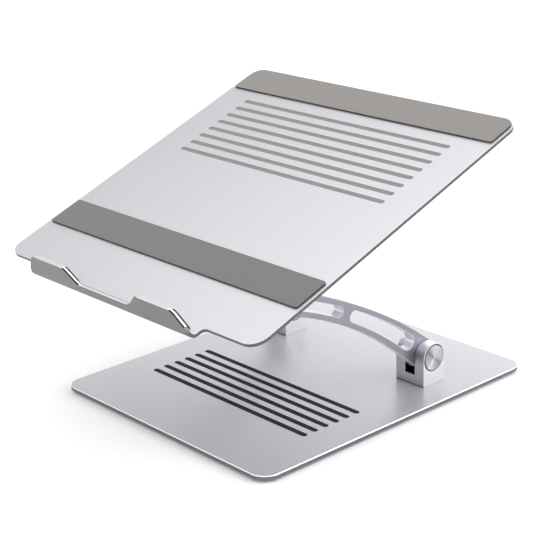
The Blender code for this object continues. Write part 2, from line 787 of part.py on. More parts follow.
def make_hook_liners(tray_frame):
    """Thin silicone linings on the inner faces of the hooks."""
    low = BEND_RADIUS + LINER_INSET
    high = TAB_TOP - LINER_INSET
    slope = (TAB_INNER - LOW_HALF) / (TAB_TOP - LOW_TOP)
    lean = (FLANGE_HALF - TAB_OUTER) / (TAB_TOP - TAB_SHOULDER)
    inner_high = TAB_INNER - slope * LINER_INSET + 0.0014
    inner_low = LOW_HALF + 0.0024
    outer_high = TAB_OUTER + lean * LINER_INSET - 0.0014
    outer_low = FLANGE_HALF - 0.0014
    shoulder = TAB_SHOULDER + LINER_INSET
    inner_face = -(FLANGE_FLAT + BEND_RADIUS)
    for side, sign in SIDES.items():
        corners = [
            (sign * inner_low, low, 0.0010),
            (sign * outer_low, low, 0.0010),
            (sign * outer_low, shoulder, 0.0060),
            (sign * outer_high, high, 0.0070),
            (sign * inner_high, high, 0.0065),
            (sign * inner_low, LOW_TOP, 0.0030),
        ]
        liner = plate(f"hook_liner_{side}", [rounded_outline(corners)], LINER_THICK, "grey_silicone")
        depth = inner_face + GAP + LINER_THICK / 2 - UPPER_PIVOT_DEPTH
        hang(liner, tray_frame, frame_of((1, 0, 0), (0, 0, 1), (0, depth, TRAY_RISE)))


# ---------------------------------------------------------------- the stand

def main():
    base_frame = make_empty("base_frame", Matrix.Translation((0, BASE_Y, BASE_TOP)))
    arm_frame = make_empty("arm_frame", Matrix.Translation(LOWER_PIVOT))
    tray_frame = make_empty("tray_frame", frame_of((1, 0, 0), TRAY_ALONG, UPPER_PIVOT))
    make_base_plate(base_frame)
    make_vent_inlays(base_frame)
    make_feet(base_frame)
    make_lower_hinges(base_frame)
    make_arms(arm_frame)
    make_upper_hinges(tray_frame)
    make_tray_plate(tray_frame)
    make_tray_inlays(tray_frame)
    make_pads(tray_frame)
    make_hook_liners(tray_frame)
    bpy.context.view_layer.update()


main()
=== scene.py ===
"""Looks of the folding aluminium laptop stand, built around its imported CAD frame.

Lengths are in metres, in the frame of the CAD model: +X to the user's right, +Y to the back, +Z up.
"""

import json
import math

import bmesh
import bpy
from mathutils import Matrix, Vector
from mathutils.geometry import tessellate_polygon


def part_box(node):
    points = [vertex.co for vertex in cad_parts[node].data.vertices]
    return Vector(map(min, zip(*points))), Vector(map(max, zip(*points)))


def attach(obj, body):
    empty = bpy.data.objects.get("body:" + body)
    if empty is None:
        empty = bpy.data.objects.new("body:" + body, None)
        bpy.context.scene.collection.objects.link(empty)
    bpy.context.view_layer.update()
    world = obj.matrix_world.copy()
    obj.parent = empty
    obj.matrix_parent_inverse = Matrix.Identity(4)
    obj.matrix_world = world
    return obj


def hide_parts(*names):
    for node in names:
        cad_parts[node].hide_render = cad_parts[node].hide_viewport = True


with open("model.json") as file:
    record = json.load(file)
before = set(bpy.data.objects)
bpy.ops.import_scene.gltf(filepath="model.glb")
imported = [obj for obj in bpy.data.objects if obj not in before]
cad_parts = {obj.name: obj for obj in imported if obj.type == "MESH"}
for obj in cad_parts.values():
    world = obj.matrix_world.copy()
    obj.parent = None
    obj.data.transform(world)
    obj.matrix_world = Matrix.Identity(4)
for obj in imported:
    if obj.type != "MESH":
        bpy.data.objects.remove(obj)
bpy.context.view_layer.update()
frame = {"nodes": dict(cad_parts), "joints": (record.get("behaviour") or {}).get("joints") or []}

# Everywhere
GAP = 0.0003  # between pieces that rest on each other
SEAT = 0.00004  # the same where a piece is screwed or pressed down tight
ARC_STEP = math.radians(5)  # how far apart the points on an arc are
END_STEP = math.radians(12)  # the same on the small round ends of slots and strips
ROUND_TOP_STEP = math.radians(4)  # the same on the brackets' round tops
MITRE_LIMIT = 0.3  # the sharpest corner that an inset outline follows in full
TINY = 1e-7  # lengths below this count as nothing
CREASE = math.radians(35)  # edges sharper than this keep a hard shade
SHADING_WEIGHT = 80  # how much a large face pulls the shading of its edges
MOSTLY = 0.7  # a face points mostly one way when that part of its direction is above this
SAW_CUT = (0.0002, 1)  # an edge that is only broken: the size of its chamfer, in one facet

# Base plate, its vent strips and its feet
BASE_LOW, BASE_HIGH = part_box("base_plate")
BASE_TOP = BASE_HIGH.z
BASE_Y = (BASE_LOW.y + BASE_HIGH.y) / 2
BASE_HALF_WIDTH = BASE_HIGH.x
BASE_HALF_DEPTH = (BASE_HIGH.y - BASE_LOW.y) / 2
BASE_THICK = BASE_HIGH.z - BASE_LOW.z
BASE_CORNER = 0.0125
BASE_CHAMFER = 0.00045
BASE_LOWER_EDGE = (0.0003, 2)
FOOT_SIZE = (0.0300, 0.0120, 0.0017)
FOOT_PLACE = (0.0860, 0.1150)
FOOT_ROUNDING = (0.0006, 4)
FOOT_END = 0.499  # its corners' radius against its depth
STRIP_END = 0.999  # the radius of a strip's round end against half its width
VENT_COUNT = 6
VENT_HALF_LENGTH = 0.0823
VENT_WIDTH = 0.0041
VENT_PITCH = 0.01008
VENT_REAR = 0.0170
VENT_CHAMFER = 0.0003
VENT_LOWER_CHAMFER = 0.00018
INLAY_RECESS = 0.0002
INLAY_ROUNDING = (0.0002, 3)

# Tray and its hooks
TRAY_HALF_WIDTH = 0.1327
TRAY_DEPTH = 0.2604
TRAY_THICK = 0.0025
TRAY_CORNER = 0.0118
TRAY_CHAMFER = 0.00015
TRAY_LOWER_CHAMFER = 0.0001
TRAY_TILT = math.radians(20.6)
SLOT_COUNT = 8
SLOT_HALF_LENGTH = 0.1044
SLOT_WIDTH = 0.0037
SLOT_PITCH = 0.00982
SLOT_FIRST = 0.1502
FLANGE_FLAT = 0.0054
BEND_RADIUS = 0.0042
BEND_FACETS = 14
FLANGE_HALF = 0.0848
FLANGE_FILLET = 0.0040
SHOULDER_RADIUS = 0.0120
TAB_OUTER_RADIUS = 0.0075
TAB_INNER_RADIUS = 0.0070
LOW_RADIUS = 0.0090
HOOK_CUT = 0.54  # how much of the hooks' edge is bright cut metal; the rest gets a painted shade line
HOOK_CUT_END = 0.0080  # how far down the outer slopes the bright cut goes
HOOK_SLOPING = 0.25  # sideways part of a face's direction above which it counts as a slope
ON_EDGE = 0.1  # vertical part of a face's direction below which it stands on edge
FLAT_ON = 0.99  # the same above which it lies flat
LIP_LINE = 0.0004  # depth of the painted shade line along the low lip's inner edge
TAB_TOP = 0.0190
TAB_SHOULDER = 0.0056
LOW_TOP = 0.0084
TAB_OUTER = 0.0755
TAB_INNER = 0.0388
LOW_HALF = 0.0280
LINER_THICK = 0.0013
LINER_INSET = 0.0009
LINER_SIDE_INSET = 0.0014
LINER_LOW_INSET = 0.0024
LINER_EDGE = 0.0003
LINER_DARK_FROM = 0.75  # share of its half thickness behind which its side gets a painted shade line
LINER_SLOPING = 0.3
LINER_RADII = (0.0010, 0.0060, 0.0070, 0.0065, 0.0030)  # from its lower corners round to the lip
PAD_THICK = 0.0011
PAD_HALF = 0.1302
PAD_DEPTH = 0.0280
PAD_CORNER = 0.0021
PAD_ROUNDING = (0.00035, 3)
PAD_LOWER_CHAMFER = (0.0001, 1)
FRONT_PAD_START = 0.0392
REAR_PAD_START = 0.2321
REAR_PAD_CORNER = 0.0090

# Hinges
BRACKET_X = 0.0728
BRACKET_WIDTH = 0.0270
BRACKET_ROUND = 0.0110
PIVOT_HEIGHT = 0.0204
BRACKET_SLOT = 0.0092
BRACKET_SLOT_FLOOR = 0.0080
BRACKET_BEVEL = 0.0002
BRACKET_TALL = PIVOT_HEIGHT + BRACKET_ROUND
LOWER_PIVOT_REAR = 0.0568
UPPER_PIVOT_DEPTH = 0.0532
SHAFT_HOLE = 0.00315
RECESS_RADIUS = 0.0102
RECESS_DEPTH = 0.0052
CAP_RADIUS = 0.0098
CAP_PROUD = 0.0003
CAP_CIRCLES = (0, 0.35, 0.7)  # circles of points on the spun face, by their share of its radius
CAP_RING = 0.00055  # width of the painted shade ring round the spun face
CAP_ROLL = ((0.00012, 0.0002), (0.0, 0.0004))  # the rounded rim: how far in, how far down
CAP_DISC = 0.0019
CAP_SKIRT = 0.0012
WASHER = (0.0074, 0.0006)
WASHER_EDGE = 0.00012
WASHER_GAP = 0.0001
SCREW_OFFSET = 0.00905
SCREW_HEAD = 0.0034
SCREW_RIM = (0.00015, 0.00025)
SCREW_CONE = 0.0017
SCREW_SHANK = 0.00175
SCREW_TIP = (0.7, 0.0006)  # its end's radius against the shank's, and its taper
SCREW_SINK = 0.0001
SCREW_BITE = 0.0070
SOCKET = (0.0012, 0.0011)
SOCKET_REACH = 0.001

# Arms
ARM_THICK = 0.0088
ARM_ARCH = 0.0101
ARM_LOWER_HALF = 0.0110
ARM_MIDDLE_HALF = 0.0077
ARM_UPPER_HALF = 0.0095
ARM_NARROWEST = 0.75  # the share of the span at which it is narrowest
ARM_LOWER_TAPER, ARM_UPPER_TAPER = 1.7, 2  # how its width grows from there: powers of the way
ARM_WINDOWS = ((0.092, 0.522), (0.570, 0.912))
ARM_TOP_RAIL = 0.0038
ARM_LOW_RAIL = 0.0043
ARM_STATIONS = 72
ARM_ROUNDING = (0.0005, 3)
WINDOW_ROUNDING = (0.0002, 2)

JOINT_AT = {joint["name"]: Vector(joint["pos_m"]) for joint in frame["joints"]}
LOWER_PIVOT = JOINT_AT["arm_lift"]
UPPER_PIVOT = JOINT_AT["tray_tilt"]
ARM_SPAN = (UPPER_PIVOT - LOWER_PIVOT).length
TRAY_ALONG = Vector((0, math.cos(TRAY_TILT), math.sin(TRAY_TILT)))
SIDES = {"left": -1, "right": 1}

# Materials
NOISE_ENDS = (0.3, 0.7)  # where a noise counts as its dark and as its light end
PAINTED_LIGHT_SPAN = 0.28  # how far across a plate its painted light gradient goes from its darkest to its lightest
SPUN_RINGS = 5200
# painted highlights: fans of light and shade round the spun caps, as (degrees, grey)
SPUN_PAINTED_HIGHLIGHTS = [
    (-180, 0.41), (-152, 0.46), (-131, 0.74), (-104, 0.60), (-90, 0.44), (-62, 0.41),
    (-44, 0.25), (-24, 0.46), (38, 0.51), (50, 0.57), (77, 0.60), (106, 0.55), (118, 0.38),
    (138, 0.22), (158, 0.36), (180, 0.41),
]
# painted light and shade on the brackets' turned rounds, by height: a painted shadow line at the foot,
# a painted dark band about the pivot, a painted highlight on top
ROUND_PAINTED_LIGHT = [
    (0.0, 0.04), (0.018, 0.10), (0.026, 0.37), (0.09, 0.45), (0.20, 0.545), (0.40, 0.57),
    (0.55, 0.58), (0.62, 0.49), (0.67, 0.37), (0.73, 0.27), (0.78, 0.33), (0.84, 0.52),
    (0.885, 0.85), (1.0, 1.0),
]

# Studio
FLOOR_HALF = 9.0
FLOOR_WHITES = (0.95, 0.96)
HORIZON = 0.72
ROOM_STRENGTH = 1.47
ROOM_UPWARD = [(0.0, 0.84), (0.33, 0.88), (0.66, 0.92), (0.85, 0.85), (1.0, 0.80)]
ROOM_SIDEWAYS = [(0.0, 0.40), (0.09, 0.66), (0.21, 1.0), (1.0, 1.0)]
ABOVE_HORIZON = [(0.04, 0.0), (0.25, 1.0)]
CAMERA_PLACE = (0.76582, BASE_Y - 0.70537, 0.45526)
CAMERA_SENSOR = 36
CAMERA_LENS = 103.05
CAMERA_AZIMUTH = 0.844494
CAMERA_ELEVATION = 0.337593
CAMERA_ROLL = -0.0321395


# ---------------------------------------------------------------- materials

def new_material(name):
    material = bpy.data.materials.new(name)
    material.use_nodes = True
    tree = material.node_tree
    shader = tree.nodes["Principled BSDF"]
    return material, tree, shader


def ramp(tree, source, stops):
    """A colour ramp over a value, with stops of (place, grey or colour)."""
    node = tree.nodes.new("ShaderNodeValToRGB")
    elements = node.color_ramp.elements
    while len(elements) < len(stops):
        elements.new(0.5)
    for element, (place, colour) in zip(elements, stops):
        element.position = place
        if isinstance(colour, (int, float)):
            colour = (colour, colour, colour)
        element.color = (*colour, 1.0)
    tree.links.new(source, node.inputs["Fac"])
    return node.outputs["Color"]


def between(tree, cloud, low, high):
    """A noise turned into values or colours from the low to the high one."""
    return ramp(tree, cloud, list(zip(NOISE_ENDS, (low, high))))


def uneven(tree, cloud, value, spread):
    """A value that a noise makes smaller and larger by this share of it."""
    return between(tree, cloud, value * (1 - spread), value * (1 + spread))


def noise(tree, scale, detail, roughness, stretch=None):
    """Noise in the object's own coordinates, or in stretched ones."""
    place = tree.nodes.new("ShaderNodeTexCoord").outputs["Object"]
    if stretch:
        mapping = tree.nodes.new("ShaderNodeMapping")
        mapping.inputs["Scale"].default_value = stretch
        tree.links.new(place, mapping.inputs["Vector"])
        place = mapping.outputs["Vector"]
    node = tree.nodes.new("ShaderNodeTexNoise")
    node.inputs["Scale"].default_value = scale
    node.inputs["Detail"].default_value = detail
    node.inputs["Roughness"].default_value = roughness
    tree.links.new(place, node.inputs["Vector"])
    return node.outputs["Fac"]


def calculate(tree, operation, *values):
    """A Math node over sockets or plain numbers."""
    node = tree.nodes.new("ShaderNodeMath")
    node.operation = operation
    for value, socket in zip(values, node.inputs):
        if isinstance(value, (int, float)):
            socket.default_value = value
        else:
            tree.links.new(value, socket)
    return node.outputs[0]


def bump(tree, shader, height, strength, distance):
    node = tree.nodes.new("ShaderNodeBump")
    node.inputs["Strength"].default_value = strength
    node.inputs["Distance"].default_value = distance
    tree.links.new(height, node.inputs["Height"])
    tree.links.new(node.outputs["Normal"], shader.inputs["Normal"])


def mottled(tree, cloud, colour, spread):
    """A colour that a noise makes a little darker and a little lighter."""
    low = tuple(c * (1 - spread) for c in colour)
    high = tuple(c * (1 + spread) for c in colour)
    return between(tree, cloud, low, high)


def marked(tree, tone, cloud, depth):
    """A grey with fine marks: a noise makes it darker and lighter, by this share of it in all."""
    marks = calculate(tree, "MULTIPLY_ADD", cloud, depth, 1 - depth / 2)
    return calculate(tree, "MULTIPLY", tone, marks)


def paint_light_gradient(tree, colour, direction, amount):
    """Painted light: the colour made a little darker against the direction and a little lighter along
    it, as light falls across a plate.
    """
    place = tree.nodes.new("ShaderNodeTexCoord").outputs["Object"]
    along = tree.nodes.new("ShaderNodeVectorMath")
    along.operation = "DOT_PRODUCT"
    tree.links.new(place, along.inputs[0])
    along.inputs[1].default_value = tuple(Vector(direction).normalized() / PAINTED_LIGHT_SPAN)
    spot = calculate(tree, "ADD", along.outputs["Value"], 0.5)
    factor = ramp(tree, spot, [(0.0, 1 - amount), (1.0, 1.0)])
    product = tree.nodes.new("ShaderNodeVectorMath")
    product.operation = "MULTIPLY"
    tree.links.new(colour, product.inputs[0])
    tree.links.new(factor, product.inputs[1])
    return product.outputs["Vector"]


def blasted_metal(name, colour, roughness, grain=0.03, metallic=1.0, painted_gradient=None):
    """Bead-blasted, anodised aluminium: a fine even grain in colour, gloss and height."""
    material, tree, shader = new_material(name)
    tint = mottled(tree, noise(tree, scale=800, detail=3, roughness=0.6), colour, grain)
    # painted light: when given, a painted gradient of light and shade goes over the plate's colour
    if painted_gradient:
        tint = paint_light_gradient(tree, tint, *painted_gradient)
    tree.links.new(tint, shader.inputs["Base Color"])
    gloss = uneven(tree, noise(tree, scale=45, detail=3, roughness=0.55), roughness, spread=0.07)
    tree.links.new(gloss, shader.inputs["Roughness"])
    shader.inputs["Metallic"].default_value = metallic
    grit = noise(tree, scale=2600, detail=2, roughness=0.6)
    bump(tree, shader, grit, strength=0.12, distance=0.00005)
    return material


def polished_metal(name, colour, roughness):
    """Diamond-cut edges: bright, with faint marks of the cutter."""
    material, tree, shader = new_material(name)
    tint = mottled(tree, noise(tree, scale=420, detail=2, roughness=0.5), colour, 0.03)
    tree.links.new(tint, shader.inputs["Base Color"])
    gloss = uneven(tree, noise(tree, scale=90, detail=2, roughness=0.5), roughness, spread=0.2)
    tree.links.new(gloss, shader.inputs["Roughness"])
    shader.inputs["Metallic"].default_value = 1.0
    return material


def turned_metal(name, painted_greys, tint, height, roughness, rings, metallic):
    """Milled round a pivot: fine lines across, over painted light and shade in greys from its foot (0)
    to its top (1).
    """
    material, tree, shader = new_material(name)
    place = tree.nodes.new("ShaderNodeTexCoord").outputs["Object"]
    split = tree.nodes.new("ShaderNodeSeparateXYZ")
    tree.links.new(place, split.inputs[0])
    lines = noise(tree, scale=rings, detail=2, roughness=0.6, stretch=(1, 0.05, 0.05))
    painted_band = ramp(tree, calculate(tree, "MULTIPLY", split.outputs["Z"], 1 / height), painted_greys)
    colour = ramp(tree, marked(tree, painted_band, lines, 0.16), [(0.0, 0.0), (1.0, tint)])
    tree.links.new(colour, shader.inputs["Base Color"])
    gloss = uneven(tree, lines, roughness, spread=0.1)
    tree.links.new(gloss, shader.inputs["Roughness"])
    shader.inputs["Metallic"].default_value = metallic
    bump(tree, shader, lines, strength=0.5, distance=0.00004)
    return material


def spun_metal(name, highlight_fans, tint, roughness, anisotropy):
    """A disc turned on a lathe: real rings round its own Z axis, under painted highlight fans of
    (degrees, grey).
    """
    material, tree, shader = new_material(name)
    place = tree.nodes.new("ShaderNodeTexCoord").outputs["Object"]
    split = tree.nodes.new("ShaderNodeSeparateXYZ")
    tree.links.new(place, split.inputs[0])
    x, y = split.outputs["X"], split.outputs["Y"]
    away = calculate(tree, "SQRT", calculate(tree, "ADD", calculate(tree, "MULTIPLY", x, x),
                                             calculate(tree, "MULTIPLY", y, y)))
    rings = tree.nodes.new("ShaderNodeTexNoise")
    rings.noise_dimensions = "1D"
    rings.inputs["Scale"].default_value = SPUN_RINGS
    rings.inputs["Detail"].default_value = 2
    tree.links.new(away, rings.inputs["W"])
    turn = calculate(tree, "ARCTAN2", y, x)
    turn = calculate(tree, "MULTIPLY_ADD", turn, 0.5 / math.pi, 0.5)
    painted_fan = ramp(tree, turn, [(degrees / 360 + 0.5, grey) for degrees, grey in highlight_fans])
    tone = marked(tree, painted_fan, rings.outputs["Fac"], 0.2)
    colour = ramp(tree, tone, [(0.0, 0.0), (1.0, tint)])
    tree.links.new(colour, shader.inputs["Base Color"])
    gloss = uneven(tree, rings.outputs["Fac"], roughness, spread=0.15)
    tree.links.new(gloss, shader.inputs["Roughness"])
    shader.inputs["Metallic"].default_value = 1.0
    shader.inputs["Anisotropic"].default_value = anisotropy
    tangent = tree.nodes.new("ShaderNodeTangent")
    tangent.direction_type = "RADIAL"
    tangent.axis = "Z"
    tree.links.new(tangent.outputs["Tangent"], shader.inputs["Tangent"])
    bump(tree, shader, rings.outputs["Fac"], strength=0.2, distance=0.00002)
    return material


def silicone(name, colour, roughness, spread=0.06, sheen=0.15, specular=0.35):
    """Matte silicone with a fine eggshell surface and a little dust in its colour."""
    material, tree, shader = new_material(name)
    tint = mottled(tree, noise(tree, scale=900, detail=4, roughness=0.65), colour, spread)
    tree.links.new(tint, shader.inputs["Base Color"])
    gloss = uneven(tree, noise(tree, scale=60, detail=3, roughness=0.5), roughness, spread=0.07)
    tree.links.new(gloss, shader.inputs["Roughness"])
    shader.inputs["Sheen Weight"].default_value = sheen
    shader.inputs["Specular IOR Level"].default_value = specular
    grit = noise(tree, scale=1700, detail=3, roughness=0.6)
    bump(tree, shader, grit, strength=0.25, distance=0.00008)
    return material


def moulded_nylon(name, colour, roughness_ends):
    """Smooth moulded plastic with a faint cloud in its colour and gloss."""
    material, tree, shader = new_material(name)
    cloud = noise(tree, scale=500, detail=3, roughness=0.6)
    tree.links.new(mottled(tree, cloud, colour, 0.15), shader.inputs["Base Color"])
    tree.links.new(between(tree, cloud, *roughness_ends), shader.inputs["Roughness"])
    grit = noise(tree, scale=1500, detail=2, roughness=0.5)
    bump(tree, shader, grit, strength=0.15, distance=0.00005)
    return material


# the tray and base plates: blasted aluminium under a painted light gradient across each
TOP = blasted_metal("tray_blasted_aluminium_painted_light", (0.68, 0.674, 0.704), 0.40, metallic=0.8,
                    painted_gradient=((1, -0.7, 0), 0.20))
BASE = blasted_metal("base_blasted_aluminium_painted_light", (0.664, 0.651, 0.690), 0.33, metallic=0.5,
                     painted_gradient=((-0.75, 1, 0), 0.38))
# painted shade: a darker copy of the base aluminium for the base's side walls
BASE_SIDE_SHADE = blasted_metal("base_side_painted_shade", (0.19, 0.185, 0.215), 0.35, 0.05)
# painted shade: a darker copy of the tray aluminium for its side walls and chamfers
TRAY_SIDE_SHADE = blasted_metal("tray_side_painted_shade", (0.120, 0.120, 0.124), 0.35, 0.05)
# painted shade: a darker copy of the tray aluminium for the hooks' outer faces
HOOK_FACE_SHADE = blasted_metal("hook_outside_painted_shade", (0.215, 0.215, 0.213), 0.45)
HOOK_EDGE = polished_metal("hook_cut_edge", (0.90, 0.90, 0.92), 0.25)
# painted shade line: near black, on the hooks' slopes and along the low lip's inner edge
HOOK_SHADE_LINE = polished_metal("hook_painted_shade_line", (0.025, 0.022, 0.024), 0.30)
# painted light: a slightly lighter copy of the tray aluminium for the hooks' top edges
HOOK_TOP_LIT = blasted_metal("hook_top_edge_painted_light", (0.72, 0.72, 0.74), 0.35)
# painted shade: a darker copy of the aluminium for the tray slots' walls
SLOT_WALL_SHADE = blasted_metal("slot_wall_painted_shade", (0.34, 0.34, 0.34), 0.45)
ARM = blasted_metal("arm_blasted_aluminium", (0.275, 0.270, 0.307), 0.42)
# painted highlight: a lighter copy of the arm aluminium for its lower edge
ARM_UNDER_LIT = blasted_metal("arm_lower_edge_painted_light", (0.80, 0.79, 0.84), 0.40, metallic=0.5)
# painted light: a lighter copy of the arm aluminium for the windows' walls
WINDOW_LIT = blasted_metal("arm_window_painted_light", (0.82, 0.81, 0.85), 0.30, metallic=0.6)
BRACKET = blasted_metal("bracket_blasted_aluminium", (0.69, 0.685, 0.718), 0.40, metallic=0.5)
EDGE = polished_metal("diamond_cut_edge", (0.93, 0.93, 0.95), 0.16)
ROUND = turned_metal("bracket_turned_round_painted_light", ROUND_PAINTED_LIGHT, (0.93, 0.92, 1.0), BRACKET_TALL, 0.34,
                     rings=900, metallic=0.8)
SPUN = spun_metal("spun_disc_painted_highlights", SPUN_PAINTED_HIGHLIGHTS, (0.965, 0.96, 1.0), 0.32, anisotropy=0.7)
# painted shade: a darkened aluminium for the ring and rolled rim round each cap's spun face
CAP_RIM_SHADE = blasted_metal("disc_rim_painted_shade", (0.17, 0.17, 0.18), 0.35)
# painted shade: near-black aluminium for recess walls, the brackets' slots and inner faces, cap skirts
# and vent walls
RECESS_SHADE = blasted_metal("recess_painted_shade", (0.02, 0.02, 0.024), 0.55)
STEEL = polished_metal("screw_steel", (0.38, 0.38, 0.39), 0.32)
REAR_PAD = silicone("grey_silicone_rear_pad", (0.215, 0.203, 0.195), 0.62)
FRONT_PAD = silicone("grey_silicone_front_pad", (0.147, 0.140, 0.136), 0.62)
# painted shade: a near-black copy of the pads' silicone for their sides
PAD_EDGE_SHADE = silicone("grey_silicone_pad_painted_shade", (0.016, 0.012, 0.010), 0.60, 0.1, sheen=0.0,
                    specular=0.15)
STRIP = silicone("grey_silicone_strip", (0.209, 0.209, 0.206), 0.60, sheen=0.05)
LINER = silicone("pale_silicone_liner", (0.62, 0.61, 0.60), 0.55)
# painted shade line: a near-black copy of the liner's silicone for the back of its sloping sides
LINER_SHADE_LINE = silicone("pale_silicone_liner_painted_shade", (0.012, 0.008, 0.009), 0.60, 0.1, sheen=0.0,
                      specular=0.1)
INLAY = silicone("black_silicone_inlay", (0.0105, 0.012, 0.016), 0.60, 0.15, sheen=0.0,
                 specular=0.12)
FOOT = silicone("black_silicone_foot", (0.016, 0.016, 0.018), 0.65, 0.2, sheen=0.05)
NYLON = moulded_nylon("black_nylon", (0.02, 0.02, 0.022), (0.42, 0.52))
BRACKET_SET = [BRACKET, ROUND, RECESS_SHADE]


# ---------------------------------------------------------------- places

def frame_of(x_axis, y_axis, origin=(0, 0, 0)):
    """The matrix that takes local X and Y to these directions, and the local origin to this point."""
    x_axis, y_axis = Vector(x_axis), Vector(y_axis)
    axes = Matrix((x_axis, y_axis, x_axis.cross(y_axis))).transposed()
    return Matrix.Translation(origin) @ axes.to_4x4()


TURN_OVER = Matrix.Rotation(math.pi, 4, "X")
BASE_FRAME = Matrix.Translation((0, BASE_Y, BASE_TOP))
TRAY_RISE = TRAY_THICK + PIVOT_HEIGHT
PIN_FRAME = frame_of((1, 0, 0), TRAY_ALONG, UPPER_PIVOT)
TRAY_FRAME = PIN_FRAME @ Matrix.Translation((0, -UPPER_PIVOT_DEPTH, TRAY_RISE))


# ---------------------------------------------------------------- outlines

def arc_points(centre, radius, start, end, step=ARC_STEP):
    count = max(2, math.ceil(abs(end - start) / step - 0.01))
    angles = [start + (end - start) * i / count for i in range(count + 1)]
    return [(centre[0] + radius * math.cos(a), centre[1] + radius * math.sin(a)) for a in angles]


def circle_points(centre, radius, count=64):
    return arc_points(centre, radius, 0, 2 * math.pi, 2 * math.pi / count)[:-1]


def rounded_outline(corners, step=ARC_STEP):
    """A closed outline through corners (x, y, radius), each rounded by an arc of its radius."""
    points = []
    for i, (x, y, radius) in enumerate(corners):
        corner = Vector((x, y))
        before = (Vector(corners[i - 1][:2]) - corner).normalized()
        after = (Vector(corners[(i + 1) % len(corners)][:2]) - corner).normalized()
        if radius == 0:
            points.append((x, y))
            continue
        half_angle = before.angle(after) / 2
        middle = (before + after).normalized()
        centre = corner + middle * radius / math.sin(half_angle)
        reach = radius / math.tan(half_angle)
        first = corner + before * reach - centre
        last = corner + after * reach - centre
        start = math.atan2(first.y, first.x)
        turn = (math.atan2(last.y, last.x) - start + math.pi) % (2 * math.pi) - math.pi
        points += arc_points(centre, radius, start, start + turn, step)
    return points


def rounded_rectangle(x_half, y_low, y_high, radius, rear_radius=None):
    rear = radius if rear_radius is None else rear_radius
    corners = [
        (-x_half, y_low, radius),
        (x_half, y_low, radius),
        (x_half, y_high, rear),
        (-x_half, y_high, rear),
    ]
    return rounded_outline(corners)


def strip(half_length, width, y):
    """A slot or strip across the stand, with round ends."""
    ends = width / 2 * STRIP_END
    low, high = y - width / 2, y + width / 2
    corners = [(-half_length, low), (half_length, low), (half_length, high), (-half_length, high)]
    return rounded_outline([(x, y, ends) for x, y in corners], END_STEP)


def area(points):
    total = 0
    for i, (x, y) in enumerate(points):
        next_x, next_y = points[(i + 1) % len(points)]
        total += x * next_y - next_x * y
    return total / 2


def oriented(points, counterclockwise):
    if (area(points) > 0) != counterclockwise:
        return list(reversed(points))
    return list(points)


def inset(points, distance):
    """The outline moved to its left by the distance, corners kept sharp."""
    moved = []
    for i, point in enumerate(points):
        here = Vector(point)
        before = (here - Vector(points[i - 1])).normalized()
        after = (Vector(points[(i + 1) % len(points)]) - here).normalized()
        left = Vector((-before.y - after.y, before.x + after.x)).normalized()
        stretch = max(left.dot(Vector((-before.y, before.x))), MITRE_LIMIT)
        moved.append(tuple(here + left * distance / stretch))
    return moved


# ---------------------------------------------------------------- solids

def rounding(radius, count):
    """Steps of (inset, depth) round an edge, from the top face's rim to the side wall."""
    if count == 1:
        return [(radius, 0), (0, radius)]
    turns = [math.pi / 2 * i / count for i in range(count + 1)]
    return [(radius * (1 - math.sin(a)), radius * (1 - math.cos(a))) for a in turns]


def wall(top, bottom, upper, lower, rim=0, side=0):
    """The side of a plate: [(inset, height, material of the strip below)], from its top rim down.

    Both edges are given as (radius, facets), and one facet makes a chamfer.
    """
    rows = [(i, top - d, rim) for i, d in rounding(*upper)]
    rows[-1] = (rows[-1][0], rows[-1][1], side)
    rows += [(i, bottom + d, side) for i, d in reversed(rounding(*lower))]
    return rows


def slab(name, outer, holes, materials, base_cap=0):
    """A plate between outlines, each (points, rows) with rows as wall() gives; holes go through."""
    shape = bmesh.new()
    tops, bottoms = [], []
    for index, (points, rows) in enumerate([outer, *holes]):
        points = oriented(points, index == 0)
        rings = []
        for distance, height, _ in rows:
            ring = [shape.verts.new((x, y, height)) for x, y in inset(points, distance)]
            rings.append(ring)
        for (upper, lower), (_, _, material) in zip(zip(rings, rings[1:]), rows):
            for i in range(len(upper)):
                after = (i + 1) % len(upper)
                face = shape.faces.new((upper[i], lower[i], lower[after], upper[after]))
                face.material_index = material
                face.smooth = True
        tops.append(rings[0])
        bottoms.append(rings[-1])
    for loops, material in ((tops, 0), (bottoms, base_cap)):
        verts = [vert for loop in loops for vert in loop]
        for corners in tessellate_polygon([[vert.co for vert in loop] for loop in loops]):
            face = shape.faces.new([verts[i] for i in corners])
            face.material_index = material
            face.smooth = True
    bmesh.ops.recalc_face_normals(shape, faces=shape.faces)
    if shape.calc_volume(signed=True) < 0:
        bmesh.ops.reverse_faces(shape, faces=shape.faces)
    return finished(name, shape, materials)


def finished(name, shape, materials):
    mesh = bpy.data.meshes.new(name)
    shape.to_mesh(mesh)
    shape.free()
    for material in materials:
        mesh.materials.append(material)
    return mesh


